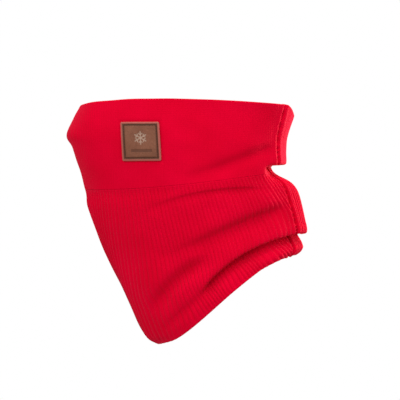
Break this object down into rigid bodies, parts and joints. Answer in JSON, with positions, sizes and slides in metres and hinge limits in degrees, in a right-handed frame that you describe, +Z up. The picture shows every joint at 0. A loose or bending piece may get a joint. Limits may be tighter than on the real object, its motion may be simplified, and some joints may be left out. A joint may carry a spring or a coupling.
{
  "type": "neck gaiter",
  "caption": "Red knitted neck gaiter with a smooth face band, a ribbed collar that runs to a point on the chest, a fleece lining and a small leather patch.",
  "frame": {"origin": "middle of the neck opening, level with the line where the face band meets the ribbed collar", "axes": "+Z up along the neck opening, -X the way the wearer faces, -Y the wearer's left"},
  "size_m": [0.2494, 0.1389, 0.2559],
  "materials": {
    "face_knit": "smooth red jersey knit",
    "rib_knit": "red rib knit",
    "fleece": "brushed red fleece",
    "seam_thread": "red sewing thread",
    "patch_leather": "brown leather, satin",
    "patch_thread": "dark brown thread",
    "backing_felt": "pale stiffening felt",
    "label_satin": "white woven satin"
  },
  "bodies": {
    "collar": {"rib_left": "rib_knit", "rib_right": "rib_knit", "lining_left": "fleece", "lining_right": "fleece", "rib_front_seam_thread": "seam_thread", "rib_back_seam_thread": "seam_thread", "lining_front_seam_thread": "seam_thread", "lining_back_seam_thread": "seam_thread", "hem_thread": "seam_thread"},
    "face_band": {"band_left": "face_knit", "band_right": "face_knit", "band_front_seam_thread": "seam_thread", "band_back_seam_thread": "seam_thread", "rim_thread": "seam_thread", "linking_thread": "seam_thread", "leather_patch": "patch_leather", "patch_stitching": "patch_thread", "patch_backing": "backing_felt", "label_thread": "seam_thread"},
    "care_label": {"care_label": "label_satin"}
  },
  "joints": [
    {"name": "pull_down", "type": "hinge", "parent": "collar", "child": "face_band", "pos_m": [0.092, 0, 0.017], "axis": [0, -1, 0], "range_deg": [0, 15], "deforming": ["rib_left", "rib_right", "lining_left", "lining_right", "rib_front_seam_thread", "rib_back_seam_thread", "lining_front_seam_thread", "lining_back_seam_thread"]},
    {"name": "label_flip", "type": "hinge", "parent": "face_band", "child": "care_label", "pos_m": [0.091, 0, 0.066], "axis": [0, 1, 0], "range_deg": [0, 110]}
  ]
}
